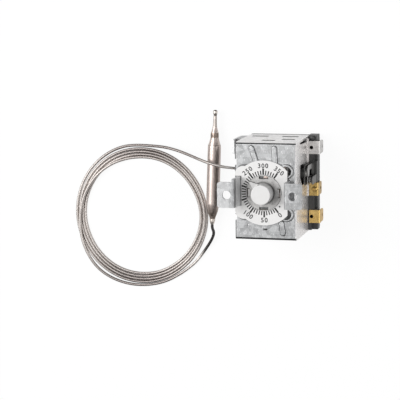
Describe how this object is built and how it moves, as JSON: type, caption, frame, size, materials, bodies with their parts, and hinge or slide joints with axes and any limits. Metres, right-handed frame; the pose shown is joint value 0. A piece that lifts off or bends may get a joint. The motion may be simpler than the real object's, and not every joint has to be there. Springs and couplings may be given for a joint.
{
  "type": "built-in thermostat",
  "caption": "Panel thermostat in a folded sheet case with a scale plate, pointer knob, hat-shaped mounting strap, tab terminals, sensor bulb and coiled capillary.",
  "frame": {"origin": "where the spindle's axis meets the back face the case rests on", "axes": "+Z out of the dial, +X towards the terminals, +Y towards the top of the scale"},
  "size_m": [0.1344, 0.0941, 0.05],
  "materials": {
    "galvanised": "galvanised sheet, satin with faint spangle",
    "scale_white": "white enamel with black print",
    "zinc_grey": "zinc-plated steel, dull",
    "brass": "bright brass",
    "steel": "turned steel",
    "stainless": "stainless steel with heat tint",
    "capillary_steel": "drawn stainless tube",
    "black_moulding": "black phenolic moulding",
    "dark_steel": "blackened steel",
    "silver_plate": "silver-plated, satin",
    "spring_steel": "spring steel",
    "knob_white": "white moulded plastic, satin",
    "ceramic": "unglazed steatite"
  },
  "bodies": {
    "case": {"front_frame": "galvanised", "rear_plate": "galvanised", "mounting_strap": "galvanised", "scale_plate": "scale_white", "stop_disc": "zinc_grey", "spindle_bush": "zinc_grey", "nut_guide_pin": "steel", "diaphragm_capsule": "stainless", "capillary_sleeve": "stainless", "crank_pin": "steel", "pivot_bracket": "galvanised", "contact_block": "black_moulding", "block_screw": "dark_steel", "terminal_top": "silver_plate", "terminal_middle": "brass", "terminal_bottom": "brass", "terminal_rivet": "brass", "plunger_guide": "black_moulding", "blade_clamp": "zinc_grey", "inner_carrier": "zinc_grey", "outer_carrier": "zinc_grey", "inner_contact": "silver_plate", "outer_contact": "silver_plate", "range_spring": "spring_steel", "sensor_bulb": "stainless", "capillary_lead": "capillary_steel", "capillary_tail": "capillary_steel", "capillary_coil": "capillary_steel"},
    "knob": {"setting_knob": "knob_white", "spindle": "steel"},
    "nut": {"setting_nut": "brass"},
    "stem": {"diaphragm_stem": "steel"},
    "crank": {"bell_crank": "zinc_grey", "adjusting_screw": "brass"},
    "plunger": {"plunger": "ceramic"},
    "blade": {"snap_blade": "spring_steel", "moving_contact": "silver_plate"}
  },
  "joints": [
    {"name": "setting_turn", "type": "hinge", "parent": "case", "child": "knob", "pos_m": [0, 0, 0.045], "axis": [0, 0, 1], "range_deg": [-87, 165]},
    {"name": "nut_travel", "type": "slide", "parent": "case", "child": "nut", "axis": [0, 0, 1], "range_m": [-0.000193, 0.000366], "deforming": ["range_spring"]},
    {"name": "stem_stroke", "type": "slide", "parent": "case", "child": "stem", "axis": [0, 0, 1], "range_m": [0, 0.0005], "stiffness_N_per_m": 400},
    {"name": "crank_tilt", "type": "hinge", "parent": "case", "child": "crank", "pos_m": [0.0075, 0, 0.0125], "axis": [0, 1, 0], "range_deg": [0, 3.87]},
    {"name": "plunger_push", "type": "slide", "parent": "case", "child": "plunger", "axis": [1, 0, 0], "range_m": [0, 0.000572]},
    {"name": "blade_flex", "type": "hinge", "parent": "case", "child": "blade", "pos_m": [0.01858, 0, 0.0094], "axis": [0, 1, 0], "range_deg": [0, 2.83]}
  ],
  "couplings": [
    {"joint": "setting_turn", "follows": "nut_travel", "rad_per_m": 7854},
    {"joint": "crank_tilt", "follows": "stem_stroke", "rad_per_m": 133.33},
    {"joint": "plunger_push", "follows": "stem_stroke", "ratio": 1.1333},
    {"joint": "blade_flex", "follows": "stem_stroke", "rad_per_m": 97.701}
  ]
}
